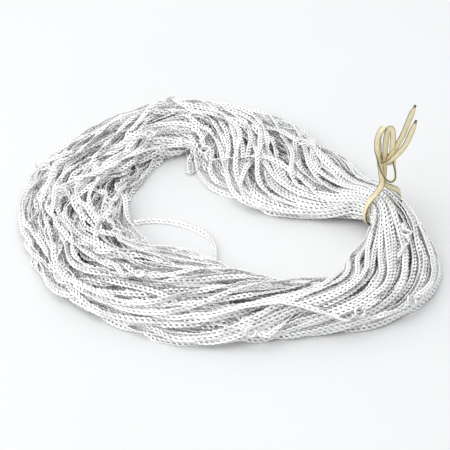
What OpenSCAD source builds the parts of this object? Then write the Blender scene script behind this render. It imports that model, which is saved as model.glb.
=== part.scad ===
// Hank of fine curb chain: twelve long chains, each wound six turns and shut with its own
// spring-ring clasp, lie together in one ring that a knotted cord ties at its right end.
// Millimetres, +Z up, origin under the middle of the ring on the surface that it lies on.

/* [Ring] */
// Width of the ring's centre line, left to right
ring_w = 165; // [135:1:220]
// Depth of the ring's centre line, front to back
ring_d = 173; // [140:1:230]
// How loosely the bundle is spread, times its usual width
spread = 1; // [0.85:0.01:1.15]
// Height of the bundle, times its usual height
heap = 1; // [0.8:0.01:1.25]
// Clear space between neighbouring coils
coil_gap = 0.4; // [0.2:0.05:0.6]

/* [Clasps] */
// Diameter of the case's centre line
clasp_d = 4.7; // [4.4:0.1:7]
// Outer diameter of the case's tube
case_tube_d = 1.3; // [1.2:0.05:1.5]
// Wall of the case's tube
case_wall = 0.23; // [0.15:0.01:0.25]
// Running clearance between bolt and bore
bolt_clear = 0.08; // [0.05:0.01:0.1]
// Diameter of the thumb knob's stem
stem_d = 0.36; // [0.3:0.02:0.4]
// Diameter of the thumb knob's ball
knob_d = 0.9; // [0.7:0.05:1.1]
// Angle that the trigger turns through
trigger_travel = 52; // [40:1:54]
// Centre-line diameter of a jump ring
jump_d = 3.2; // [3.2:0.1:4]
// Wire of a jump ring
jump_wire = 0.64; // [0.5:0.02:0.7]
// Clear space between a clasp's lowest ring and the coils
clasp_clear = 0.4; // [0.3:0.05:1]

/* [Tie] */
// Diameter of the tie cord
tie_d = 2.2; // [1.8:0.1:2.7]
// Clear space between the tie cord and the coils
tie_clear = 0.5; // [0.3:0.05:0.8]
// Size of the bow above the knot, times its usual size
bow_size = 1; // [0.9:0.01:1.2]

/* [Loose bight] */
// Width of the chain
chain_w = 2.9; // [2.4:0.1:3.2]

/* [Hidden] */
CHAINS = 12;
NUMBERS = ["01", "02", "03", "04", "05", "06", "07", "08", "09", "10", "11", "12"];

SILVER = [0.80, 0.81, 0.82];
BRIGHT = [0.88, 0.89, 0.90];
TAN = [0.83, 0.74, 0.52];
// The sections turn slowly round the ring because each looks this far ahead and behind.
LOOK = 0.7;

// Stations round the ring from the tie, over the back, the left and the front: x and y as shares
// of the centre line's half width and half depth, then the bundle's half width and height.
BASE_W = 82.5;
BASE_D = 86.5;
STATIONS = [
    [79, 9, 9.2, 19.5], [60, 30.5, 23, 14.5], [34.5, 51, 42.5, 13], [13, 85, 38, 14], [-18, 105, 26, 15],
    [-52, 86, 26, 14], [-74, 49, 28, 13], [-77, 8, 28, 13], [-62, -31, 30, 16],
    [-33, -52, 33, 17], [-2, -63, 30, 16], [33, -67, 19, 16], [64, -58, 22, 15],
    [79, -36, 26, 14], [84.5, -12, 18, 16]
];
LAPS = len(STATIONS);
RINGS_PER_STATION = 4;

// The section is widest at this share of its height, and half way up where the tie grips it.
BELLY = 0.25;
TIE_BELLY = 0.5;
CROWN = 0.93;
// Coils in each row of the section, bottom to top, and the heights where the rows part.
ROWS = [5, 4, 3];
ROW_HEIGHTS = [0, 0.36, 0.69, 1];
CORNER = 0.2;

// Each clasp: how far round the ring it lies, how far across the bundle, and its turn.
CLASPS = [
    [11.65, 0.84, 20], [10.45, 0.95, -10], [13.65, 0.16, 15], [8.9, 0.3, 40],
    [7.9, -0.4, -20], [6.9, -0.62, 10], [6.15, 0.68, 60], [4.95, -0.5, -15], [4.4, 0.4, 25],
    [3.1, -0.8, -35], [2.3, 0.35, 10], [12.3, 0.9, 5]
];

// Angles round a clasp's case. The eye is at 180 degrees and the jump ring at 0.
MOUTH_START = 35;
MOUTH_END = 85;
NOSE = 32;
STEM_AT = 97;
TAIL = 135;
SLOT_MARGIN = 6;
SPRING_ARC = 40;
JUMP_LEAN = 60;
JUMP_SLACK = 0.12;
EYE_D = 1.7;
EYE_WIRE = 0.54;

case_r = clasp_d / 2;
tube_r = case_tube_d / 2;
bore_r = tube_r - case_wall;
bolt_r = bore_r - bolt_clear;
slot_w = stem_d + 2 * bolt_clear;
knob_out = case_r + tube_r + bolt_clear + knob_d / 2;
jump_out = case_r + jump_d / 2 - jump_wire / 2 - tube_r - JUMP_SLACK;
clasp_lift = clasp_clear + (jump_d + jump_wire) / 2 * sin(JUMP_LEAN);
clasp_facets = 48;

// ---- the ring ----

function blend(a, b, c, d, t) =
    0.5 * (2 * b + (c - a) * t + (2 * a - 5 * b + 4 * c - d) * t * t
        + (3 * b - a - 3 * c + d) * t * t * t);
function station(i) =
    let (p = STATIONS[(i + LAPS) % LAPS])
    [p[0] * ring_w / 2 / BASE_W, p[1] * ring_d / 2 / BASE_D, p[2] * spread, p[3] * heap];
function at(s) =
    let (i = floor(s + LAPS) % LAPS, t = s - floor(s))
    blend(station(i - 1), station(i), station(i + 1), station(i + 2), t);
function unit(v) = v / norm(v);
function flat(v) = [v[0], v[1]];
function along(s) = unit(flat(at(s + LOOK)) - flat(at(s - LOOK)));
function outward(s) = let (a = along(s)) [a[1], -a[0]];

// How near a place is to the tie: 1 as far as TIE_REACH stations from it, then easing to 0.
TIE_REACH = 0.4;
EASE = 0.8;
function from_tie(s) = let (w = (s + LAPS) % LAPS) min(w, LAPS - w);
function tied(s) =
    let (f = max(0, min((from_tie(s) - TIE_REACH) / EASE, 1))) (1 + cos(180 * f)) / 2;
function belly(s) = BELLY + (TIE_BELLY - BELLY) * tied(s);
function base(s) = (tie_d + tie_clear) * tied(s);
function half_width(s, v) =
    let (b = belly(s), up = CROWN * (v - b) / (1 - b)) at(s)[2] * sqrt(1 - up * up);

function section_point(s, u, v) =
    let (p = at(s), q = flat(p) + outward(s) * u * half_width(s, v))
    [q[0], q[1], base(s) + v * p[3]];

// The middle of the outline, which is the origin.
OUTLINE = [for (i = [0 : LAPS * RINGS_PER_STATION - 1])
    section_point(i / RINGS_PER_STATION, 1, belly(i / RINGS_PER_STATION))];
function middle(k) = (min([for (p = OUTLINE) p[k]]) + max([for (p = OUTLINE) p[k]])) / 2;
ORIGIN = [middle(0), middle(1), 0];

// ---- tubes ----

function cross_of(a, b) = unit(cross(a, b));
function smooth(points, steps) = [
    for (i = [0 : len(points) - 2], k = [0 : steps - 1])
        blend(points[max(i - 1, 0)], points[i], points[i + 1],
            points[min(i + 2, len(points) - 1)], k / steps),
    points[len(points) - 1]
];
function direction(points, i) =
    unit(points[min(i + 1, len(points) - 1)] - points[max(i - 1, 0)]);

// A closed tube of sides facets along points. side_on is never in line with the route.
module tube(points, d, side_on, sides = 8) {
    n = len(points);
    rings = [
        for (i = [0 : n - 1])
            let (t = direction(points, i), a = cross_of(t, side_on), b = cross_of(a, t))
            for (k = [0 : sides - 1])
                points[i] + d / 2 * (cos(360 * k / sides) * a + sin(360 * k / sides) * b)
    ];
    walls = [
        for (i = [0 : n - 2], k = [0 : sides - 1])
            [i * sides + k, i * sides + (k + 1) % sides,
             (i + 1) * sides + (k + 1) % sides, (i + 1) * sides + k]
    ];
    start = [for (k = [0 : sides - 1]) sides - 1 - k];
    finish = [for (k = [0 : sides - 1]) (n - 1) * sides + k];
    polyhedron(concat(rings, [points[0], points[n - 1]]), concat(
        [for (w = walls) each [[w[0], w[2], w[1]], [w[0], w[3], w[2]]]],
        [for (k = [0 : sides - 1]) [n * sides, k, (k + 1) % sides]],
        [for (k = [0 : sides - 1]) [n * sides + 1, (n - 1) * sides + (k + 1) % sides,
            (n - 1) * sides + k]]
    ));
}

// ---- chains ----

// The eight points of a coil's section between two places across and two heights.
function coil_section(s, u0, u1, v0, v1) =
    let (
        g = coil_gap / 2, vm = (v0 + v1) / 2, um = (u0 + u1) / 2, h = at(s)[3],
        gv = g / h, lo = v0 + gv, hi = v1 - gv,
        cut_u = (u1 - u0) * CORNER, cut_v = (hi - lo) * CORNER,
        inset = function(v) g / half_width(s, v)
    )
    [
        section_point(s, u0 + inset(lo) + cut_u, lo), section_point(s, u1 - inset(lo) - cut_u, lo),
        section_point(s, u1 - inset(vm), lo + cut_v), section_point(s, u1 - inset(vm), hi - cut_v),
        section_point(s, u1 - inset(hi) - cut_u, hi), section_point(s, u0 + inset(hi) + cut_u, hi),
        section_point(s, u0 + inset(vm), hi - cut_v), section_point(s, u0 + inset(vm), lo + cut_v)
    ];

function row_of(i) = i < ROWS[0] ? 0 : i < ROWS[0] + ROWS[1] ? 1 : 2;
function column_of(i) = i - (row_of(i) > 0 ? ROWS[0] : 0) - (row_of(i) > 1 ? ROWS[1] : 0);

// The closed outer shape of one chain's six turns.
module chain(i) {
    row = row_of(i);
    u0 = -1 + 2 * column_of(i) / ROWS[row];
    u1 = u0 + 2 / ROWS[row];
    n = LAPS * RINGS_PER_STATION;
    sides = 8;
    points = [for (k = [0 : n - 1])
        each coil_section(k / RINGS_PER_STATION, u0, u1, ROW_HEIGHTS[row], ROW_HEIGHTS[row + 1])];
    faces = [
        for (k = [0 : n - 1], j = [0 : sides - 1])
            let (a = k * sides + j, b = k * sides + (j + 1) % sides,
                c = (k + 1) % n * sides + (j + 1) % sides, d = (k + 1) % n * sides + j)
            each [[a, c, b], [a, d, c]]
    ];
    color(SILVER) translate(-ORIGIN) polyhedron(points, faces);
}

// ---- clasps ----

// Where the bundle's surface lies at a place across it, and how steeply it falls away.
function surface_height(s, u) =
    let (b = belly(s)) base(s) + at(s)[3] * min(1, b + (1 - b) * sqrt(1 - u * u) / CROWN);
function fall(s, u) =
    let (e = 0.02, p = at(s))
    atan((surface_height(s, u - e) - surface_height(s, u + e)) / (2 * e * p[2]));
function heading(s) = let (a = along(s)) atan2(a[1], a[0]);
function clasp_place(i) =
    let (
        c = CLASPS[i], s = c[0], u = c[1], tilt = fall(s, u), out = outward(s),
        q = flat(at(s)) + out * (u * at(s)[2] + sin(tilt) * clasp_lift)
    )
    [q[0], q[1], surface_height(s, u) + cos(tilt) * clasp_lift] - ORIGIN;
function clasp_turn(i) =
    let (c = CLASPS[i]) [fall(c[0], c[1]), 0, heading(c[0])];

// A clasp's own frame: its axis is Z, its eye lies on -X and its jump ring on +X.
module in_clasp(i) {
    translate(clasp_place(i)) rotate([0, 0, clasp_turn(i)[2]]) rotate([clasp_turn(i)[0], 0, 0])
        rotate([0, 0, CLASPS[i][2]]) children();
}

module arc(from, to, r, d) {
    rotate([0, 0, from]) rotate_extrude(angle = to - from, $fn = clasp_facets)
        translate([r, 0]) circle(d = d, $fn = clasp_facets);
}

module clasp_case(i) {
    color(BRIGHT) in_clasp(i) {
        difference() {
            arc(MOUTH_END, 360 + MOUTH_START, case_r, case_tube_d);
            arc(MOUTH_END - 1, 361 + MOUTH_START, case_r, 2 * bore_r);
            rotate([0, 0, STEM_AT - SLOT_MARGIN])
                rotate_extrude(angle = trigger_travel + 2 * SLOT_MARGIN, $fn = clasp_facets)
                    translate([case_r, -slot_w / 2]) square([tube_r * 1.5, slot_w]);
        }
        translate([-case_r - tube_r - EYE_D / 2 + EYE_WIRE * 0.15, 0, 0])
            rotate_extrude($fn = clasp_facets) translate([EYE_D / 2, 0])
                circle(d = EYE_WIRE, $fn = clasp_facets);
    }
}

module clasp_trigger(i) {
    color(BRIGHT) in_clasp(i) {
        arc(NOSE, TAIL, case_r, 2 * bolt_r);
        rotate([0, 0, STEM_AT]) {
            translate([case_r, 0, 0]) rotate([0, 90, 0])
                cylinder(d = stem_d, h = knob_out - case_r, $fn = clasp_facets);
            translate([knob_out, 0, 0]) sphere(d = knob_d, $fn = clasp_facets);
        }
    }
}

// The clasps' springs, as short as the open triggers leave them.
module clasp_springs() {
    start = TAIL + trigger_travel + 3;
    color("gray") for (i = [0 : CHAINS - 1]) in_clasp(i)
        difference() {
            arc(start, start + SPRING_ARC, case_r, 2 * bolt_r);
            arc(start - 1, start + SPRING_ARC + 1, case_r, bolt_r);
        }
}

module jump_ring(i) {
    color(BRIGHT) in_clasp(i) translate([jump_out, 0, 0]) rotate([JUMP_LEAN, 0, 0])
        rotate_extrude($fn = clasp_facets) translate([jump_d / 2, 0])
            circle(d = jump_wire, $fn = clasp_facets);
}

// ---- loose bight of one chain, which lies across the ring's opening ----

BIGHT = [[-48, 9, 0], [-38, 11, 0], [-27, 9, 0], [-17, 4, 0], [-10, -4, 0], [-7, -14, 0],
    [-6.5, -21, 0], [-6.5, -27, 0]];
module loose_bight() {
    scale_to = [ring_w / 2 / BASE_W, ring_d / 2 / BASE_D];
    route = [for (p = BIGHT) [p[0] * scale_to[0], p[1] * scale_to[1], chain_w / 2]];
    color(SILVER) translate(-ORIGIN) tube(smooth(route, 3), chain_w, [0, 0, 1]);
}

// ---- tie ----

tie_height = at(0)[3];
tie_centre = concat(flat(at(0)), [base(0) + tie_height / 2]) - ORIGIN;
knot_r = tie_d * 1.1;
// The knot lies this far inwards of the bundle's middle.
KNOT_IN = 1.6;
knot = tie_centre + [-KNOT_IN, 0, tie_height / 2 + tie_clear / 2 + knot_r];
BOW_KNOT = [3.5, 3.7, 14.8];
bow_knot = knot + bow_size * BOW_KNOT;

// Routes of the bow, from the knot: x to the right, y to the back and z up. The outer loop goes
// up from the knot, and the low loop comes down from its top, turns under and ends at the bow knot.
OUTER_LOOP = [[-0.3, 0.4, 1.5], [-0.7, 2.9, 6.8], [-1.5, 5.3, 12], [-2, 7.1, 16.8],
    [-2.3, 8.4, 22], [-1.8, 8.8, 25.9], [-0.5, 8.2, 29], [0.3, 7, 30.3]];
LOW_LOOP = [[0.3, 7, 30.3], [-1.5, 5.4, 29.9], [-3, 4.1, 26.6], [-3.5, 3, 22.5], [-2.8, 2, 17.2],
    [-1.5, 0.9, 11.9], [0, 0.1, 7.5], [1.8, -0.3, 4.5], [4.1, -0.4, 3.2], [6.1, 0.2, 4.5],
    [6.2, 1.3, 7.8], [5.5, 2.4, 11.5], [4.6, 3.1, 14.2]];
INNER_LOOP = [[0.4, 1.9, 1.2], [0.8, 3.4, 6.1], [1, 5, 11.7], [1, 5.6, 17.8], [1.2, 6.3, 23.9],
    [1.8, 6.6, 27.9], [3, 6.8, 29.9], [4.2, 6.6, 28.5], [4.6, 6, 24.1], [4.5, 5.1, 19.4],
    [3.8, 4, 15.9]];
LONG_TAIL = [BOW_KNOT, [6.8, 5.7, 20.7], [9.5, 7.5, 25.5], [12.2, 10.3, 31.8], [15.5, 13.3, 39.3]];
SHORT_TAIL = [BOW_KNOT, [7.7, 3.6, 18.2], [10.9, 4.8, 21.8], [13.2, 6.6, 26.6], [15.9, 9, 33.2]];

function bow_route(shares) = [for (p = shares) knot + bow_size * p];

module bow_tube(shares) {
    color(TAN) tube(smooth(bow_route(shares), 3), tie_d, [0.1, 1, -0.25]);
}

// The cord leans as it goes round: its lowest point is a little past its top, by -TIE_TILT stations.
TIE_TILT = -0.12;
function wrap_point(a) =
    let (s = -TIE_TILT * (1 - sin(a)) / 2, p = at(s), grow = tie_clear + tie_d / 2)
    concat(flat(p), [base(s) + p[3] / 2]) - ORIGIN + concat(outward(s), [0]) * (p[2] + grow) * cos(a)
        + [0, 0, (p[3] / 2 + grow) * sin(a)];

module tie_wrap() {
    turns = 36;
    route = [for (k = [0 : turns]) wrap_point(90 + 8 + (360 - 16) * k / turns)];
    color(TAN) tube(route, tie_d, concat(along(0), [0]));
}

module tie_knot() { color(TAN) translate(knot) sphere(r = knot_r, $fn = 32); }
module tie_bow_knot() { color(TAN) translate(bow_knot) sphere(r = knot_r, $fn = 32); }
module tie_outer_loop() { bow_tube(OUTER_LOOP); }
module tie_inner_loop() { bow_tube(INNER_LOOP); }
module tie_low_loop() { bow_tube(LOW_LOOP); }
module tie_long_tail() { bow_tube(LONG_TAIL); }
module tie_short_tail() { bow_tube(SHORT_TAIL); }

for (i = [0 : CHAINS - 1]) {
    chain(i);
    clasp_case(i);
    clasp_trigger(i);
    jump_ring(i);
}
clasp_springs();
loose_bight();
tie_wrap();
tie_knot();
tie_bow_knot();
tie_outer_loop();
tie_inner_loop();
tie_low_loop();
tie_long_tail();
tie_short_tail();
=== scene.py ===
import math
import bpy
import numpy as np
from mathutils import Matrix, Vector


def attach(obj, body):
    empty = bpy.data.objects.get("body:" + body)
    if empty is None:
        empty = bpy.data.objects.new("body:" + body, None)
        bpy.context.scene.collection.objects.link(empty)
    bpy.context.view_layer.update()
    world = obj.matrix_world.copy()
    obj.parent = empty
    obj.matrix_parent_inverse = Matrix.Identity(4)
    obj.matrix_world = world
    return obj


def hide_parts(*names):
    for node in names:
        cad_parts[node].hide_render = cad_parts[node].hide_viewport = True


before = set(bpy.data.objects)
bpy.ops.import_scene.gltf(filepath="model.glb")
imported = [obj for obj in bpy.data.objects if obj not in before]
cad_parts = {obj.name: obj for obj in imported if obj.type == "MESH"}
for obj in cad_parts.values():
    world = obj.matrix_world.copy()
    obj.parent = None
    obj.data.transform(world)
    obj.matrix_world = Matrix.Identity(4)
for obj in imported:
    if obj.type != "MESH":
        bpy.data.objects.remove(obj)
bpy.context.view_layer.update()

# Millimetres in the numpy parts, metres in Blender. Row frame throughout.
MM = 0.001


# ---------------------------------------------------------------- camera
scene = bpy.context.scene
AIM = Vector((-0.0008, -0.0193, 0.008))
ELEVATION = math.radians(33)
REACH = 0.90
cam = bpy.data.objects.new("camera", bpy.data.cameras.new("camera"))
scene.collection.objects.link(cam)
cam.data.lens = 144
cam.data.sensor_width = 36
cam.data.clip_start = 0.01
cam.location = AIM + REACH * Vector((0, -math.cos(ELEVATION), math.sin(ELEVATION)))
cam.rotation_euler = (math.pi / 2 - ELEVATION, 0, 0)
scene.camera = cam

# ---------------------------------------------------------------- the ring, as in part.scad
STATIONS = np.array([
    [79, 9, 9.2, 19.5], [60, 30.5, 23, 14.5], [34.5, 51, 42.5, 13], [13, 85, 38, 14], [-18, 105, 26, 15],
    [-52, 86, 26, 14], [-74, 49, 28, 13], [-77, 8, 28, 13], [-62, -31, 30, 16],
    [-33, -52, 33, 17], [-2, -63, 30, 16], [33, -67, 19, 16], [64, -58, 22, 15],
    [79, -36, 26, 14], [84.5, -12, 18, 16]], float)
LAP = len(STATIONS)
LOOK = 0.7
CROWN = 0.93
ROWS = (5, 4, 3)
TIE_D = 2.2
TIE_CLEAR = 0.5
# Near the tie the bundle is lifted by the lace; the lace leans a little.
TIE_REACH, EASE, TIE_TILT = 0.4, 0.8, -0.12
CLASPS = [
    (11.65, .84, 20), (10.45, .95, -10), (13.65, .16, 15), (8.9, .3, 40), (7.9, -.4, -20),
    (6.9, -.62, 10), (6.15, .68, 60), (4.95, -.5, -15), (4.4, .4, 25), (3.1, -.8, -35),
    (2.3, .35, 10), (12.3, .9, 5)]
CLASP_R, TUBE_R = 2.35, 0.65
JUMP_D, JUMP_WIRE, JUMP_LEAN, JUMP_SLACK = 3.2, 0.64, math.radians(60), 0.12
EYE_D, EYE_WIRE = 1.7, 0.54
EYE_OUT = CLASP_R + TUBE_R + EYE_D / 2 - EYE_WIRE * 0.15
JUMP_OUT = CLASP_R + JUMP_D / 2 - JUMP_WIRE / 2 - TUBE_R - JUMP_SLACK
CLASP_LIFT = 0.4 + (JUMP_D + JUMP_WIRE) / 2 * math.sin(JUMP_LEAN)


def at(s):
    """The ring's middle, half width and height at station s, on a smooth curve through the stations."""
    s = np.asarray(s, float)
    i = np.floor(s).astype(int)
    t = (s - i)[..., None]
    a, b, c, d = (STATIONS[(i + k) % LAP] for k in (-1, 0, 1, 2))
    return 0.5 * (2 * b + (c - a) * t + (2 * a - 5 * b + 4 * c - d) * t ** 2
                  + (3 * b - a - 3 * c + d) * t ** 3)


def unit(v):
    return v / np.maximum(np.linalg.norm(v, axis=-1, keepdims=True), 1e-12)


def along(s):
    return unit(at(np.asarray(s) + LOOK)[..., :2] - at(np.asarray(s) - LOOK)[..., :2])


def outward(s):
    a = along(s)
    return np.stack([a[..., 1], -a[..., 0]], -1)


def tied(s):
    """1 at the tie and 0 away from it."""
    w = np.asarray(s, float) % LAP
    return (1 + np.cos(np.pi * np.clip((np.minimum(w, LAP - w) - TIE_REACH) / EASE, 0, 1))) / 2


def belly(s):
    """The share of the height at which the section is widest."""
    return 0.25 + 0.25 * tied(s)


def base(s):
    """The height of the section's underside."""
    return (TIE_D + TIE_CLEAR) * tied(s)


def half_width(s, v):
    b = belly(s)
    up = CROWN * (v - b) / (1 - b)
    return at(s)[..., 2] * np.sqrt(np.maximum(1 - up * up, 0.02))


def section_point(s, u, v):
    p = at(s)
    q = p[..., :2] + outward(s) * (u * half_width(s, v))[..., None]
    return np.concatenate([q, (base(s) + v * p[..., 3])[..., None]], -1)


def rim_middle():
    """The middle of the ring's outer rim, in the stations' own coordinates."""
    s = np.arange(LAP * 4) / 4
    rim = section_point(s, np.ones(len(s)), belly(s))
    return np.array([(rim[:, 0].min() + rim[:, 0].max()) / 2, (rim[:, 1].min() + rim[:, 1].max()) / 2, 0])


ORIGIN = rim_middle()
# The tie: its row of the ring, the middle of its section, and the ways along the ring and outwards there.
TIE = at(0)
TIE_C = np.array([*TIE[:2], base(0) + TIE[3] / 2]) - ORIGIN
ALONG, OUTWARD = np.array([*along(0), 0]), np.array([*outward(0), 0])


def surface_height(s, u):
    b = belly(s)
    return base(s) + at(s)[3] * min(1, b + (1 - b) * math.sqrt(1 - u * u) / CROWN)


def turn_z(a):
    c, s = math.cos(a), math.sin(a)
    return np.array([[c, -s, 0], [s, c, 0], [0, 0, 1]])


def turn_x(a):
    c, s = math.cos(a), math.sin(a)
    return np.array([[1, 0, 0], [0, c, -s], [0, s, c]])


def clasp_frame(i):
    """Centre (mm) and axes of clasp i: columns are its X, Y and Z."""
    s, u, turn = CLASPS[i]
    p = at(s)
    fall = math.atan((surface_height(s, u - .02) - surface_height(s, u + .02)) / (.04 * p[2]))
    a = along(s)
    out = outward(s)
    q = p[:2] + out * (u * p[2] + math.sin(fall) * CLASP_LIFT)
    centre = np.array([*q, surface_height(s, u) + math.cos(fall) * CLASP_LIFT]) - ORIGIN
    return centre, turn_z(math.atan2(a[1], a[0])) @ turn_x(fall) @ turn_z(math.radians(turn))


FRAMES = [clasp_frame(i) for i in range(12)]

# ---------------------------------------------------------------- chain link
# A flat curb link: an oval of wire, twisted so that its quarters lie over and under, cut flat on both faces.
PITCH = 2.7
LINK_A, LINK_B, LINK_C = 1.50, 0.90, 0.33
WIRE_W, WIRE_H, CUT = 0.66, 0.38, 0.36
TURNS = 6
SEG, SIDES = 12, 6

# Where each chain's end links hang: in the jump ring and in the clasp's eye.
HOOK = LINK_A - WIRE_W
START_X = JUMP_OUT + JUMP_D / 2 + HOOK - JUMP_WIRE / 2 - 0.03
END_X = -(EYE_OUT + EYE_D / 2 + HOOK - EYE_WIRE / 2 - 0.03)


def smoothstep(t):
    t = np.clip(t, 0, 1)
    return t * t * (3 - 2 * t)


def keyed(s, values):
    """Values at the stations, eased between them."""
    key = np.array(values, float)
    s = np.asarray(s, float) % LAP
    i = np.floor(s).astype(int)
    t = s - i
    t = t * t * (3 - 2 * t)
    return key[i % LAP] * (1 - t) + key[(i + 1) % LAP] * t


# How untidy the strands are round the ring, and how far the bundle has twisted by each station.
UNREST = [0, .25, .6, .9, 1.1, 1.2, 1.2, 1.2, 1.2, 1.0, .55, .28, .18, .12, .05]
TWIST = [0, -12, -45, -100, -145, -170, -182, -188, -190, -182, -150, -98, -52, -18, 0, 0]


def twist(s):
    s = np.asarray(s, float)
    return np.radians(np.interp(s % LAP, np.arange(LAP + 1), TWIST))


def waves(s, low, high, count, gen):
    f = gen.uniform(low, high, count)
    ph = gen.uniform(0, 2 * np.pi, count)
    return sum(np.sin(2 * np.pi * f[k] * s + ph[k]) for k in range(count)) / math.sqrt(count / 2)


def disc_lanes():
    """A place in the bundle for each turn of each chain, spread evenly over a disc."""
    n = 12 * TURNS
    k = np.arange(n) + .5
    r, a = np.sqrt(k / n) * .97, k * math.pi * (3 - math.sqrt(5))
    xy = np.stack([r * np.cos(a), r * np.sin(a)], -1)
    xy = xy[np.argsort(xy[:, 1])]
    out, first = [], 0
    for count in ROWS:
        row = xy[first:first + count * TURNS]
        row = row[np.argsort(row[:, 0])]
        out += [row[c * TURNS:(c + 1) * TURNS] for c in range(count)]
        first += count * TURNS
    return out


LANES = disc_lanes()

# Strands that leave the bundle: chain, turn, place, reach along the ring, and how far across.
STRAYS = [(9, 2, 3.75, .22, -.9), (9, 4, 3.6, .3, -.75), (5, 1, 3.9, .25, -.5), (5, 5, 3.4, .3, -.5),
          (8, 3, 7.7, .35, .45), (4, 2, 8.1, .3, .28), (4, 5, 5.4, .4, .3), (0, 4, 9.4, .35, -.25),
          (2, 3, 3.3, .3, -.5), (7, 1, 3.0, .35, -.4), (10, 2, 2.4, .3, -.3), (3, 4, 4.0, .22, -.6),
          (6, 2, 6.6, .3, -.3), (0, 1, 6.9, .3, -.3)]
# The bight that has slipped into the opening: its points, chain and turn, and the stations of its two ends.
BIGHT = np.array([[-48, 13], [-38, 15], [-27, 13], [-17, 8],
                  [-9, -1], [-6, -12], [-6, -23], [-7, -31]], float)
BIGHT_CHAIN, BIGHT_TURN, BIGHT_FROM, BIGHT_TO = 5, 3, 6.35, 10.35


def in_bundle(s, x, y):
    """The point of the bundle at a place in the unit disc: x outwards and y up."""
    b = belly(s)
    v = np.where(y > 0, b + (1 - b) * y, b + b * y)
    wide = np.where(y < 0, np.minimum((1 - y * y + .05) ** -.25, 1.3), 1)
    p = at(s)
    q = p[..., :2] + outward(s) * (x * wide * p[..., 2])[..., None]
    z = base(s) + np.clip(v, .03, None) * p[..., 3]
    return np.concatenate([q, z[..., None]], -1) - ORIGIN


# Stations that a change of lane takes, and those round the tie that its middle keeps out of.
LANE_CHANGE, LANE_FREE = 2.4, 1.6
# Wandering strands are held back softly from this share of the section's half width, over this share.
RIM, RIM_SOFT = .86, .16
# Steps over which the bight's ends join its chain, and steps of lead from a clasp's end links.
BIGHT_LEAD, CLASP_LEAD = 30, 26


def chain_route(i, gen):
    """Centre line of chain i before it settles, with its links' lean, its looseness and its firmness."""
    s_c, u_c, _ = CLASPS[i]
    step = 0.02
    n = int(TURNS * LAP / step)
    s = s_c + np.arange(n + 1) * step
    lanes = LANES[i][gen.permutation(TURNS)]
    x = np.full(n + 1, lanes[0][0])
    y = np.full(n + 1, lanes[0][1])
    for k in range(1, TURNS):
        mid = s_c + k * LAP + gen.uniform(-4, 4)
        # A change of lane never happens at the tie.
        if min(mid % LAP, LAP - mid % LAP) < LANE_FREE:
            mid += 2 * LANE_FREE
        w = smoothstep((s - mid) / LANE_CHANGE + .5)
        x += w * (lanes[k][0] - lanes[k - 1][0])
        y += w * (lanes[k][1] - lanes[k - 1][1])
    a = twist(s)
    x, y = x * np.cos(a) - y * np.sin(a), x * np.sin(a) + y * np.cos(a)
    # Wander: wide slow waves and quick small ones, wilder on some turns than on others.
    loose = keyed(s, UNREST)
    wild = gen.choice([.5, 1, 1.8], TURNS, p=[.35, .35, .3])
    share = np.interp(np.arange(n + 1), (np.arange(TURNS) + .5) * LAP / step, wild)
    hw, ht = at(s)[:, 2], at(s)[:, 3]
    x = x + ((4.2 * waves(s, .08, .30, 4, gen) + 1.9 * waves(s, .4, .95, 3, gen)) * share * loose
             + .5 * waves(s, .1, .3, 3, gen) * (1 - tied(s))) / hw
    y = y + 1.3 * waves(s, .15, .6, 4, gen) * (.25 + .75 * loose) * (1 - tied(s)) / ht
    r = np.hypot(x, y)
    squeeze = np.where(r > RIM, (RIM + RIM_SOFT * np.tanh((r - RIM) / RIM_SOFT)) / np.maximum(r, .1), 1)
    x, y = x * squeeze, y * squeeze
    for (c, k, s0, wide, far) in STRAYS:
        if c == i:
            t = (s - (s0 + LAP * (k + (1 if s0 < s_c else 0)))) / wide
            bump = np.exp(-t * t)
            x = x + far * bump
            y = y * (1 - bump) - .8 * bump
    lean = np.arctan2(x * ht, np.maximum(y, .12) * hw)
    p = in_bundle(s, x, y)
    # Both ends come up to the clasp.
    b = belly(s)
    top = base(s) + ht * np.minimum(1, b + (1 - b) * math.sqrt(1 - u_c * u_c) / CROWN) + 1
    over = np.concatenate([at(s)[:, :2] + outward(s) * (u_c * hw)[:, None], top[:, None]], 1) - ORIGIN
    for w in (1 - smoothstep((s - s[0]) / 1.4), smoothstep((s - s[-1]) / 1.4 + 1)):
        p = p * (1 - w[:, None]) + over * w[:, None]
    extra = np.stack([lean, loose, 0 * loose], -1)
    if i == BIGHT_CHAIN:
        lap = LAP * (BIGHT_TURN + (1 if BIGHT_FROM < s_c else 0))
        a = int(round((BIGHT_FROM + lap - s_c) / step))
        b = int(round((BIGHT_TO + lap - s_c) / step))
        via = np.concatenate([BIGHT - ORIGIN[:2], np.full((len(BIGHT), 1), 1.0)], 1)
        before, after = a - BIGHT_LEAD, b + BIGHT_LEAD
        line = curve_through(np.concatenate([p[before:a:10], via, p[b:after:10]]), 24)
        p = np.concatenate([p[:before], line, p[after:]])
        extra = np.concatenate([extra[:before], np.tile([.8, 0, 1], (len(line), 1)), extra[after:]])
    # The first and last links hang in the jump ring and in the eye, and the next few lead there.
    centre, axes = FRAMES[i]
    side = axes[:, 0]
    head = [centre + side * START_X, centre + side * (START_X + PITCH)]
    tail = [centre + side * (END_X - PITCH), centre + side * END_X]
    far = CLASP_LEAD
    lead_in = curve_through(np.array([head[0], head[1], p[far], p[far + 12]]), 20)[:-20]
    lead_out = curve_through(np.array([p[-far - 12], p[-far], tail[0], tail[1]]), 20)[20:]
    p = np.concatenate([lead_in, p[far + 1:-far - 1], lead_out])
    extra = np.concatenate([np.tile([0, .5, 0], (len(lead_in), 1)), extra[far + 1:-far - 1],
                            np.tile([0, .5, 0], (len(lead_out), 1))])
    return resample(p, PITCH, extra)


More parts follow.
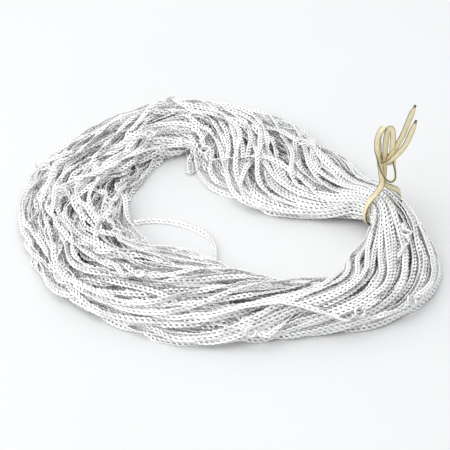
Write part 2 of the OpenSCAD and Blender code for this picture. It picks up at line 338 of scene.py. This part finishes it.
def curve_through(points, steps):
    """A smooth curve through the points, steps to a span."""
    points = np.asarray(points, float)
    ext = np.concatenate([points[:1] * 2 - points[1:2], points, points[-1:] * 2 - points[-2:-1]])
    out = []
    t = (np.arange(steps) / steps)[:, None]
    for k in range(len(points) - 1):
        a, b, c, d = ext[k:k + 4]
        # Centripetal spacing keeps short spans from looping.
        ta = 0.0
        tb = ta + max(np.linalg.norm(b - a), 1e-6) ** .5
        tc = tb + max(np.linalg.norm(c - b), 1e-6) ** .5
        td = tc + max(np.linalg.norm(d - c), 1e-6) ** .5
        x = tb + (tc - tb) * t
        A1 = (tb - x) / (tb - ta) * a + (x - ta) / (tb - ta) * b
        A2 = (tc - x) / (tc - tb) * b + (x - tb) / (tc - tb) * c
        A3 = (td - x) / (td - tc) * c + (x - tc) / (td - tc) * d
        B1 = (tc - x) / (tc - ta) * A1 + (x - ta) / (tc - ta) * A2
        B2 = (td - x) / (td - tb) * A2 + (x - tb) / (td - tb) * A3
        out.append((tc - x) / (tc - tb) * B1 + (x - tb) / (tc - tb) * B2)
    out.append(points[-1:])
    return np.concatenate(out)


def resample(p, pitch, extra=None):
    """The line with its points one pitch apart, and extra values carried along it."""
    seg = np.linalg.norm(np.diff(p, axis=0), axis=1)
    cum = np.concatenate([[0], np.cumsum(seg)])
    n = int(round(cum[-1] / pitch)) + 1
    x = np.linspace(0, cum[-1], n)
    q = np.stack([np.interp(x, cum, p[:, k]) for k in range(3)], -1)
    if extra is None:
        return q
    return q, np.stack([np.interp(x, cum, extra[:, k]) for k in range(extra.shape[1])], -1)


# ---------------------------------------------------------------- settling
def near_pairs(p, reach):
    """Index pairs of points closer than reach, by a sorted grid."""
    c = np.floor((p - p.min(0)) / reach).astype(np.int64) + 1
    dims = c.max(0) + 2
    key = (c[:, 0] * dims[1] + c[:, 1]) * dims[2] + c[:, 2]
    order = np.argsort(key, kind="stable")
    ks = key[order]
    out_a, out_b = [], []
    steps = [(dx, dy, dz) for dx in (-1, 0, 1) for dy in (-1, 0, 1) for dz in (-1, 0, 1)
             if (dx, dy, dz) > (0, 0, 0)] + [(0, 0, 0)]
    for dx, dy, dz in steps:
        other = ks + (dx * dims[1] + dy) * dims[2] + dz
        lo = np.searchsorted(ks, other, "left")
        hi = np.searchsorted(ks, other, "right")
        if (dx, dy, dz) == (0, 0, 0):
            lo = np.arange(len(ks)) + 1
        count = np.maximum(hi - lo, 0)
        a = np.repeat(np.arange(len(ks)), count)
        first = np.repeat(lo - (np.cumsum(count) - count), count)
        b = first + np.arange(len(a))
        out_a.append(order[a])
        out_b.append(order[b])
    a, b = np.concatenate(out_a), np.concatenate(out_b)
    near = ((p[a] - p[b]) ** 2).sum(1) < reach * reach
    return a[near], b[near]


def scatter(index, value, n):
    return np.stack([np.bincount(index, value[:, k], n) for k in range(3)], -1)


# Clear space between centre lines, far from the tie and at it, and how far the tie's squeeze reaches.
CLEAR, CLEAR_AT_TIE, TIE_SPREAD = 2.3, 1.85, 22
# Turns between searches for neighbours, and rounds of mending lengths in a turn.
LOOK_AGAIN, LENGTH_ROUNDS = 5, 3
# The pull towards where the strands were laid, how much more the bight holds, the weight, the least and added
# bending stiffness, and the lowest centre line.
HOME_PULL, BIGHT_HOLD, WEIGHT, BEND, FLOOR_ROOM = (.012, .012, .02), 14, .012, (.12, .16), .85


# Room that strands leave round the case, the jump ring and the eye: place along X, radius and half height.
CLASP_ROOMS = ((0, 4.3, 1.75), (JUMP_OUT, 2.6, 2.6), (-EYE_OUT, 1.8, 1.3))


def push_apart(q, a, b, room):
    """How far each point moves so that the pairs a and b clear each other."""
    d = q[a] - q[b]
    r = np.sqrt((d * d).sum(1))
    clear = (room[a] + room[b]) / 2
    hit = r < clear
    a, b = a[hit], b[hit]
    push = d[hit] / np.maximum(r[hit], .05)[:, None] * ((clear[hit] - r[hit]) * .5)[:, None]
    move = scatter(a, push, len(q)) - scatter(b, push, len(q))
    times = np.bincount(a, minlength=len(q)) + np.bincount(b, minlength=len(q))
    return move / np.maximum(times, 1)[:, None] ** .6


def clear_clasps(p, free):
    """Sinks the free points that lie inside a clasp's rooms."""
    for centre, axes in FRAMES:
        rel = (p - centre) @ axes
        close = np.flatnonzero((np.abs(rel) < 7).all(1) & (free[:, 0] > 0))
        if len(close):
            l = rel[close]
            for place, radius, height in CLASP_ROOMS:
                inside = (np.hypot(l[:, 0] - place, l[:, 1]) < radius) & (np.abs(l[:, 2]) < height)
                l[inside, 2] += (-height - l[inside, 2]) * .3
            p[close] = centre + l @ axes.T


# The lace's turn lies this far along the ring at its underside from its top. Points are kept inside it within a
# reach along the ring, with a share of room to spare, which grows by a share with the way from its edge.
UNDER_SHIFT, SQUEEZE_REACH, SPARE, SPREAD, LACE_EDGE = 2.8, 10, 1.04, .5, 1.5


def squeeze_at_tie(p):
    """Brings the points near the tie inside its turn, with more room further along the ring."""
    rel = p - TIE_C
    w = np.abs(rel @ ALONG - UNDER_SHIFT * (1 - np.clip(rel[:, 2] / (TIE[3] / 2), -1, 1)) / 2)
    near = np.flatnonzero((w < SQUEEZE_REACH) & (np.abs(rel @ OUTWARD) < 4 * SQUEEZE_REACH))
    grow = SPARE + SPREAD * (np.maximum(w[near] - LACE_EDGE, 0) / SQUEEZE_REACH) ** 1.5
    eu = (rel[near] @ OUTWARD) / ((TIE[2] + TIE_CLEAR - 1.0) * grow)
    ez = rel[near, 2] / ((TIE[3] / 2 + TIE_CLEAR - 1.0) * grow)
    e = np.sqrt(eu * eu + ez * ez)
    back = np.where(e > 1, 1 / np.maximum(e, 1e-6) - 1, 0)[:, None]
    p[near] += back * ((rel[near] @ OUTWARD)[:, None] * OUTWARD + rel[near, 2:3] * np.array([0, 0, 1]))


def keep_length(p, parity, free):
    """Brings the links back to one pitch, the even ones and then the odd ones."""
    for _ in range(LENGTH_ROUNDS):
        for link in parity:
            d = p[link + 1] - p[link]
            r = np.sqrt((d * d).sum(1))[:, None]
            wa, wb = free[link], free[link + 1]
            fix = d * ((r - PITCH) / np.maximum(r, 1e-6)) / np.maximum(wa + wb, 1)
            p[link] += fix * wa
            p[link + 1] -= fix * wb


def settle(lines, extras, turns):
    """Lets the chains lie: they keep their length and clear each other, the floor, clasps and tie."""
    n = [len(q) for q in lines]
    first = np.concatenate([[0], np.cumsum(n)[:-1]])
    p = np.concatenate(lines)
    home = p.copy()
    loose, firm = np.concatenate(extras)[:, 1:].T
    hold = 1 + BIGHT_HOLD * firm[:, None]
    soft = BEND[0] + BEND[1] * (1 - np.minimum(loose, 1))[:, None]
    total = len(p)
    chain = np.repeat(np.arange(len(lines)), n)
    seg = np.flatnonzero(chain[:-1] == chain[1:])
    parity = [seg[seg % 2 == 0], seg[seg % 2 == 1]]
    mid = seg[(chain[np.maximum(seg - 1, 0)] == chain[seg]) & (seg > 0)]
    held = np.zeros(total, bool)
    for f, m in zip(first, n):
        held[[f, f + 1, f + m - 2, f + m - 1]] = True
    free = (~held).astype(float)[:, None]
    rank = np.concatenate([np.arange(total), seg + .5])
    for turn in range(turns):
        # Collisions of points and of the middles between them.
        q = np.concatenate([p, (p[seg] + p[seg + 1]) / 2])
        if turn % LOOK_AGAIN == 0:
            a, b = near_pairs(q, CLEAR + .7)
            from_tie = np.linalg.norm(q - TIE_C, axis=1)
            room = CLEAR + (CLEAR_AT_TIE - CLEAR) * np.exp(-(from_tie / TIE_SPREAD) ** 2)
            apart = np.abs(rank[a] - rank[b]) > 1.6
            a, b = a[apart], b[apart]
        move = push_apart(q, a, b, room)
        body = move[:total].copy()
        half = move[total:] * .5
        body += scatter(seg, half, total) + scatter(seg + 1, half, total)
        p = p + body * free * .9
        # Weight and the pull of where they were laid.
        pull = np.array(HOME_PULL) * hold * (home - p)
        pull[:, 2] -= WEIGHT
        p = p + pull * free
        # Stiffness.
        bend = np.zeros_like(p)
        bend[mid] = (p[mid - 1] + p[mid + 1]) / 2 - p[mid]
        p = p + bend * free * soft
        clear_clasps(p, free)
        squeeze_at_tie(p)
        p[:, 2] = np.maximum(p[:, 2], FLOOR_ROOM)
        keep_length(p, parity, free)
    return [p[f:f + m] for f, m in zip(first, n)]


def add_mesh(name, verts, quads, uv=None, smooth=True):
    mesh = bpy.data.meshes.new(name)
    nv, nf = len(verts), len(quads)
    mesh.vertices.add(nv)
    mesh.vertices.foreach_set("co", (np.asarray(verts) * MM).astype(np.float32).ravel())
    mesh.loops.add(nf * 4)
    mesh.loops.foreach_set("vertex_index", np.asarray(quads, np.int32).ravel())
    mesh.polygons.add(nf)
    mesh.polygons.foreach_set("loop_start", np.arange(nf, dtype=np.int32) * 4)
    mesh.polygons.foreach_set("loop_total", np.full(nf, 4, np.int32))
    mesh.polygons.foreach_set("use_smooth", np.broadcast_to(smooth, nf).copy())
    if uv is not None:
        layer = mesh.uv_layers.new(name="OFBake")
        layer.data.foreach_set("uv", np.asarray(uv, np.float32).ravel())
    mesh.update(calc_edges=True)
    obj = bpy.data.objects.new(name, mesh)
    scene.collection.objects.link(obj)
    return obj


def link_shape():
    """Corners, faces and face corners' places of one link, along x, across y and flat side z."""
    ph = np.arange(SEG) / SEG * 2 * np.pi + np.pi / SEG
    centre = np.stack([LINK_A * np.cos(ph), LINK_B * np.sin(ph), LINK_C * np.sin(2 * ph)], -1)
    tan = unit(np.stack([-LINK_A * np.sin(ph), LINK_B * np.cos(ph), 0 * ph], -1))
    out = np.stack([tan[:, 1], -tan[:, 0], 0 * ph], -1)
    th = np.arange(SIDES) / SIDES * 2 * np.pi
    ring = centre[:, None] + WIRE_W * np.cos(th)[None, :, None] * out[:, None]
    ring[..., 2] += WIRE_H * np.sin(th)[None]
    ring[..., 2] = np.clip(ring[..., 2], -CUT, CUT)
    i, j = np.meshgrid(np.arange(SEG), np.arange(SIDES), indexing="ij")
    i, j = i.ravel(), j.ravel()
    i2, j2 = (i + 1) % SEG, (j + 1) % SIDES
    quads = np.stack([i * SIDES + j, i2 * SIDES + j, i2 * SIDES + j2, i * SIDES + j2], -1)
    uv = np.stack([np.stack([i, j], -1), np.stack([i + 1, j], -1),
                   np.stack([i + 1, j + 1], -1), np.stack([i, j + 1], -1)], 1) / np.array([SEG, SIDES])
    flat = (j == 1) | (j == 4)
    return ring.reshape(-1, 3), quads, uv, flat


def build_chain(i, p, extra, gen):
    n = len(p)
    t = np.empty_like(p)
    t[1:-1] = p[2:] - p[:-2]
    t[0], t[-1] = p[1] - p[0], p[-1] - p[-2]
    t = unit(t)
    k = np.arange(n)
    # Links lie flat on the heap's surface and roll slowly from there.
    side = unit(np.cross(t, [0, 0, 1.0]))
    lean, loose = extra[:, 0], extra[:, 1]
    norm = np.array([0, 0, 1.0]) * np.cos(lean)[:, None] + side * np.sin(lean)[:, None]
    norm = unit(norm - t * (norm * t).sum(1, keepdims=True))
    across = np.cross(norm, t)
    roll = (np.radians(10) + np.radians(22) * loose) * waves(k * PITCH, .004, .02, 4, gen)
    roll += (np.radians(4) + np.radians(8) * loose) * waves(k * PITCH, .03, .08, 4, gen)
    roll += np.radians(3) * gen.standard_normal(n)
    up = norm * np.cos(roll)[:, None] + across * np.sin(roll)[:, None]
    # The end links hang in the jump ring and in the eye.
    y, z = FRAMES[i][1].T[1:]
    ring_way = y * math.cos(JUMP_LEAN) + z * math.sin(JUMP_LEAN)
    for goal, rank in ((ring_way, k), (y, n - 1 - k)):
        w = (1 - smoothstep(rank / 7))[:, None]
        sign = np.where((up * goal).sum(1, keepdims=True) < 0, -1, 1)
        up = unit(up * (1 - w) + goal * sign[np.argmin(np.abs(rank - 7))] * w)
    up = unit(up - t * (up * t).sum(1, keepdims=True))
    across = np.cross(up, t)
    shape, quads, uv, flat = link_shape()
    verts = (p[:, None] + shape[None, :, :1] * t[:, None] + shape[None, :, 1:2] * across[:, None]
             + shape[None, :, 2:] * up[:, None]).reshape(-1, 3)
    # Links on the floor rest on it.
    verts[:, 2] = np.maximum(verts[:, 2], 0)
    faces = (quads[None] + (k * len(shape))[:, None, None]).reshape(-1, 4)
    grid = math.ceil(math.sqrt(n))
    place = np.stack([k % grid, k // grid], -1)
    uvs = (place[:, None, None] + .06 + .88 * uv[None]) / grid
    return add_mesh(f"chain_{i + 1:02d}_links", verts, faces, uvs.reshape(-1, 2), np.tile(~flat, n))


TURNS_OF_SETTLING = 160
routes = [chain_route(i, np.random.default_rng(100 + i)) for i in range(12)]
lines = settle([r[0] for r in routes], [r[1] for r in routes], TURNS_OF_SETTLING)
chains = []
for i, (line, (_, extra)) in enumerate(zip(lines, routes)):
    obj = build_chain(i, line, extra, np.random.default_rng(500 + i))
    nodes = [f"chain_{i + 1:02d}"] + (["loose_bight"] if i == BIGHT_CHAIN else [])
    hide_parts(*nodes)
    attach(obj, "hank")
    chains.append(obj)


# ---------------------------------------------------------------- the tie: one flat lace
KNOT_R = TIE_D * 1.1
KNOT_IN = 1.6
KNOT = TIE_C + [-KNOT_IN, 0, TIE[3] / 2 + TIE_CLEAR / 2 + KNOT_R]
LACE_W, LACE_T, LACE_STEP = 2.9, 1.0, 0.45
# The turn round the bundle: its gap to each side of the top in degrees, its steps, and the steps in which the
# lace's width swings from its way at the start, and to its way at the end.
WRAP_GAP, WRAP_STEPS, WRAP_EASE = 32, 24, 5
WRAP_START, WRAP_END = np.array([.42, .46, .71]), np.array([-.67, .33, .5])

# Points from the knot, and the way the lace's width lies there.
LONG_TAIL = [[15.5, 13.3, 39.3], [12.2, 10.3, 31.8], [9.5, 7.5, 25.5], [6.8, 5.7, 20.7]]
TURN_UP = [[4.6, 4.6, 16.6], [2.9, 4.2, 13.2], [3.3, 4.2, 11.2], [4.3, 4.6, 12.6], [4.4, 4.8, 15.6]]
INNER = [[4.5, 5.1, 19.4], [4.6, 6, 24.1], [4.2, 6.6, 28.5], [3, 6.8, 29.9], [1.8, 6.6, 27.9],
         [1.2, 6.3, 23.9], [1, 5.6, 17.8], [1, 5, 11.7], [.8, 3.4, 6.1], [.5, 1.4, 1.6]]
OUTER = [[-.3, .4, 1.5], [-.7, 2.9, 6.8], [-1.5, 5.3, 12], [-2, 7.1, 16.8], [-2.3, 8.4, 22],
         [-1.8, 8.8, 25.9], [-.5, 8.2, 29], [.1, 7, 30.2]]
LOW = [[-1.5, 5.0, 29.5], [-3, 4.1, 26.6], [-3.5, 3, 22.5], [-2.8, 2, 17.2], [-1.5, .9, 11.9]]
UNDER = [[0, .1, 7.5], [1.8, -.3, 4.5], [4.1, -.4, 3.2], [6.1, .2, 4.5], [6.2, 1.3, 7.8]]
ROUND = [[5.6, 2.6, 11.5], [4.8, 6.2, 14.2], [1.4, 7.6, 14.6], [-1.2, 5.2, 13.6], [-.6, 2.2, 12.6]]
SHORT_TAIL = [[3, 1.2, 14.4], [7.7, 3.0, 18.2], [10.9, 4.8, 21.8], [13.2, 6.6, 26.6], [15.9, 9, 33.2]]
FACE, EDGE, SIDE = (1, 0, -.15), (.1, .85, -.5), (.5, .8, -.3)


def wrap_point(a):
    """The lace's middle at an angle round the bundle, 0 outwards and a quarter turn on top."""
    s_a = -TIE_TILT * (1 - math.sin(a)) / 2
    q = at(s_a)
    out = np.array([*outward(s_a), 0])
    mid = np.array([*q[:2], base(s_a) + q[3] / 2]) - ORIGIN
    grow = TIE_CLEAR + TIE_D / 2
    return mid + out * (q[2] + grow) * math.cos(a) + np.array([0, 0, (q[3] / 2 + grow) * math.sin(a)])


def lace_route():
    points, ways = [], []

    def add(route, way):
        for p in route:
            points.append(KNOT + np.array(p, float))
            ways.append(way)

    add(LONG_TAIL, (1, .1, -.5))
    add(TURN_UP, FACE)
    add(INNER, FACE)
    for k in range(WRAP_STEPS + 1):
        a = math.radians(90 - WRAP_GAP - (360 - 2 * WRAP_GAP) * k / WRAP_STEPS)
        points.append(wrap_point(a))
        left = WRAP_STEPS - k
        way = ALONG
        if k < WRAP_EASE:
            way = ALONG * (k / WRAP_EASE) + WRAP_START * (1 - k / WRAP_EASE)
        if left < WRAP_EASE:
            way = ALONG * (left / WRAP_EASE) + WRAP_END * ((WRAP_EASE - left) / WRAP_EASE)
        ways.append(tuple(way))
    add(OUTER, FACE)
    add(LOW[:3], FACE)
    add(LOW[3:], SIDE)
    add(UNDER, EDGE)
    add(ROUND, SIDE)
    add(SHORT_TAIL, (1, .1, -.5))
    steps = 8
    line = curve_through(np.array(points), steps)
    k = np.arange(len(line)) / steps
    way = np.stack([np.interp(k, np.arange(len(ways)), np.array(ways)[:, c]) for c in range(3)], -1)
    return resample(line, LACE_STEP, way)


def build_lace():
    p, way = lace_route()
    n = len(p)
    t = unit(np.gradient(p, axis=0))
    w = np.empty_like(p)
    last = way[0]
    for k in range(n):
        v = way[k] - (way[k] @ t[k]) * t[k]
        v = v / max(np.linalg.norm(v), 1e-6)
        if k and v @ last < 0:
            v = -v
        last = v if not k else unit(last * .75 + v * .25)
        last = unit(last - (last @ t[k]) * t[k])
        w[k] = last
    u = np.cross(t, w)
    x = np.array([-.5, -.46, -.3, 0, .3, .46, .5, .46, .3, 0, -.3, -.46]) * LACE_W
    y = np.array([0, .38, .5, .44, .5, .38, 0, -.38, -.5, -.44, -.5, -.38]) * LACE_T
    m = len(x)
    gen = np.random.default_rng(3)
    tip = np.minimum(np.arange(n), np.arange(n)[::-1]) * LACE_STEP
    fray = (1 + .03 * waves(np.arange(n) * LACE_STEP, .05, .3, 4, gen)) * (.35 + .65 * smoothstep(tip / 5))
    verts = (p[:, None] + w[:, None] * (x[None] * fray[:, None])[..., None] + u[:, None] * y[None, :, None])
    i, j = np.meshgrid(np.arange(n - 1), np.arange(m), indexing="ij")
    i, j = i.ravel(), j.ravel()
    j2 = (j + 1) % m
    quads = np.stack([i * m + j, (i + 1) * m + j, (i + 1) * m + j2, i * m + j2], -1)
    uv = np.stack([np.stack([i, j], -1), np.stack([i + 1, j], -1), np.stack([i + 1, j + 1], -1),
                   np.stack([i, j + 1], -1)], 1) / np.array([n, m])
    # Each end is closed with a fan of narrow faces.
    caps, cap_uv = [], []
    for row, flip in ((0, False), (n - 1, True)):
        for c in range(1, m // 2):
            f = [row * m + c - 1, row * m + c, row * m + m - c - 1, row * m + (m - c) % m]
            caps.append(f if flip else f[::-1])
            cap_uv.append([[row / n, c / m]] * 4)
    quads = np.concatenate([quads, np.array(caps)])
    uv = np.concatenate([uv, np.array(cap_uv)])
    obj = add_mesh("tie_lace", verts.reshape(-1, 3), quads, uv.reshape(-1, 2))
    layer = obj.data.uv_layers.new(name="lace")
    lace = uv.reshape(-1, 2) * np.array([n * LACE_STEP, 1])
    layer.data.foreach_set("uv", lace.astype(np.float32).ravel())
    return obj, p


lace, lace_line = build_lace()
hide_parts("tie_wrap", "tie_knot", "tie_bow_knot", "tie_outer_loop", "tie_inner_loop",
            "tie_low_loop", "tie_long_tail", "tie_short_tail")
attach(lace, "hank")
lace_length = float(np.linalg.norm(np.diff(lace_line, axis=0), axis=1).sum()) * MM


# ---------------------------------------------------------------- materials
def material(name):
    m = bpy.data.materials.new(name)
    m.use_nodes = True
    nt = m.node_tree
    return m, nt, nt.nodes["Principled BSDF"]


def noise(nt, scale, detail=3.0, coords="Object"):
    tex = nt.nodes.new("ShaderNodeTexNoise")
    tex.inputs["Scale"].default_value = scale
    tex.inputs["Detail"].default_value = detail
    where = nt.nodes.new("ShaderNodeTexCoord")
    nt.links.new(where.outputs[coords], tex.inputs["Vector"])
    return tex


def ramp(nt, source, stops):
    r = nt.nodes.new("ShaderNodeValToRGB")
    nt.links.new(source, r.inputs["Fac"])
    el = r.color_ramp.elements
    while len(el) < len(stops):
        el.new(.5)
    for e, (x, c) in zip(el, stops):
        e.position = x
        e.color = (*c, 1) if len(c) == 3 else c
    return r


def grey(x):
    return (x, x, x)


def metal(name, low, high, rough, scale=900, metallic=1.0):
    m, nt, bsdf = material(name)
    bsdf.inputs["Metallic"].default_value = metallic
    tone = ramp(nt, noise(nt, scale).outputs["Fac"], [(.3, low), (.7, high)])
    nt.links.new(tone.outputs["Color"], bsdf.inputs["Base Color"])
    finish = ramp(nt, noise(nt, scale * .4).outputs["Fac"], [(.3, grey(rough[0])), (.7, grey(rough[1]))])
    nt.links.new(finish.outputs["Color"], bsdf.inputs["Roughness"])
    return m


def math_node(nt, operation, source, value):
    node = nt.nodes.new("ShaderNodeMath")
    node.operation = operation
    node.inputs[1].default_value = value
    nt.links.new(source, node.inputs[0])
    return node.outputs["Value"]


def multiply(nt, a, b):
    mix = nt.nodes.new("ShaderNodeMix")
    mix.data_type = "RGBA"
    mix.blend_type = "MULTIPLY"
    mix.inputs["Factor"].default_value = 1.0
    nt.links.new(a, mix.inputs[6])
    nt.links.new(b, mix.inputs[7])
    return mix.outputs[2]


def lace_material():
    """Cream lace, darkened along both edges by painted shade, and dark at both cut tips."""
    m, nt, bsdf = material("tie_cord")
    where = nt.nodes.new("ShaderNodeUVMap")
    where.uv_map = "lace"
    split = nt.nodes.new("ShaderNodeSeparateXYZ")
    nt.links.new(where.outputs["UV"], split.inputs["Vector"])
    # The place round the lace, folded to 0 at an edge and a quarter in the middle.
    fold = math_node(nt, "PINGPONG", split.outputs["Y"], .25)
    # Painted shade: the colour darkens to near black towards both edges of the lace, where its rounded sides
    # turn away from the light.
    painted_edge_shade = ramp(nt, fold, [(.085, (.22, .18, .08)), (.125, (.80, .71, .46)), (.25, (.95, .87, .63))])
    stretch = nt.nodes.new("ShaderNodeMapping")
    stretch.inputs["Scale"].default_value = (.35, 40, 1)
    nt.links.new(where.outputs["UV"], stretch.inputs["Vector"])
    fibre = nt.nodes.new("ShaderNodeTexNoise")
    fibre.inputs["Scale"].default_value = 1.0
    fibre.inputs["Detail"].default_value = 4.0
    nt.links.new(stretch.outputs["Vector"], fibre.inputs["Vector"])
    shade = ramp(nt, fibre.outputs["Fac"], [(.3, (.74, .70, .58)), (.65, (1, 1, 1))])
    # The way to the nearer tip, as a share of TIP_REACH.
    to_tip = math_node(nt, "PINGPONG", split.outputs["X"], lace_length / MM / 2)
    share = math_node(nt, "DIVIDE", to_tip, TIP_REACH)
    tips = ramp(nt, share, [(.3, (.24, .2, .12)), (.6, (1, 1, 1))])
    colour = multiply(nt, multiply(nt, painted_edge_shade.outputs["Color"], shade.outputs["Color"]), tips.outputs["Color"])
    nt.links.new(colour, bsdf.inputs["Base Color"])
    bsdf.inputs["Roughness"].default_value = .62
    bump = nt.nodes.new("ShaderNodeBump")
    bump.inputs["Strength"].default_value = .35
    bump.inputs["Distance"].default_value = .0003
    nt.links.new(fibre.outputs["Fac"], bump.inputs["Height"])
    nt.links.new(bump.outputs["Normal"], bsdf.inputs["Normal"])
    return m


TIP_REACH = 3.3
CHAIN_MAT = metal("silver_chain", (.91, .91, .91), (.98, .98, .975), (.30, .42), metallic=.86)
CLASP_MAT = metal("silver_clasp", (.80, .80, .81), (.90, .90, .91), (.10, .18), 600)
SPRING_MAT = metal("spring_steel", (.35, .35, .36), (.5, .5, .5), (.25, .4))
TIE_MAT = lace_material()
lace.data.materials.append(TIE_MAT)

for obj in chains:
    obj.data.materials.append(CHAIN_MAT)
for name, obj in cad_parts.items():
    obj.data.materials.clear()
    if name.startswith("tie"):
        obj.data.materials.append(TIE_MAT)
    elif name == "clasp_springs":
        obj.data.materials.append(SPRING_MAT)
    elif name.startswith(("clasp", "jump")):
        obj.data.materials.append(CLASP_MAT)
    else:
        obj.data.materials.append(CHAIN_MAT)

# ---------------------------------------------------------------- studio
FLOOR_MAT, nt, bsdf = material("floor")
tone = ramp(nt, noise(nt, 6, 2).outputs["Fac"], [(.3, (.735, .74, .74)), (.7, (.75, .755, .755))])
nt.links.new(tone.outputs["Color"], bsdf.inputs["Base Color"])
bsdf.inputs["Roughness"].default_value = .7
bsdf.inputs["Specular IOR Level"].default_value = 0.0
floor_mesh = bpy.data.meshes.new("floor")
FLOOR_HALF = 6.0
corner_signs = [(-1, -1), (1, -1), (1, 1), (-1, 1)]
floor_mesh.from_pydata([(x * FLOOR_HALF, y * FLOOR_HALF, 0) for x, y in corner_signs], [], [(0, 1, 2, 3)])
floor = bpy.data.objects.new("floor", floor_mesh)
floor.location.z = -0.0002
scene.collection.objects.link(floor)
floor.data.materials.append(FLOOR_MAT)


def area(name, place, size, power, colour=(1, 1, 1), aim=(0, 0, 0)):
    data = bpy.data.lights.new(name, "AREA")
    data.shape = "RECTANGLE"
    data.size, data.size_y = size
    data.energy = power
    data.color = colour
    o = bpy.data.objects.new(name, data)
    o.location = place
    o.rotation_euler = (Vector(aim) - Vector(place)).to_track_quat("-Z", "Y").to_euler()
    scene.collection.objects.link(o)
    return o


area("top", (0.0, 0.0, 1.5), (1.8, 1.4), 7.5)
area("back", (0.0, 1.25, 0.95), (2.6, 1.1), 6.5)
area("front", (-0.9, -0.9, 1.0), (1.6, 1.0), 10)
area("left", (-1.4, 0.2, 0.6), (1.2, 0.8), 5)
world = bpy.data.worlds.new("studio")
scene.world = world
world.use_nodes = True
back = world.node_tree.nodes["Background"]
back.inputs["Color"].default_value = (.97, .98, 1, 1)
back.inputs["Strength"].default_value = .68
scene.view_settings.view_transform = "Standard"
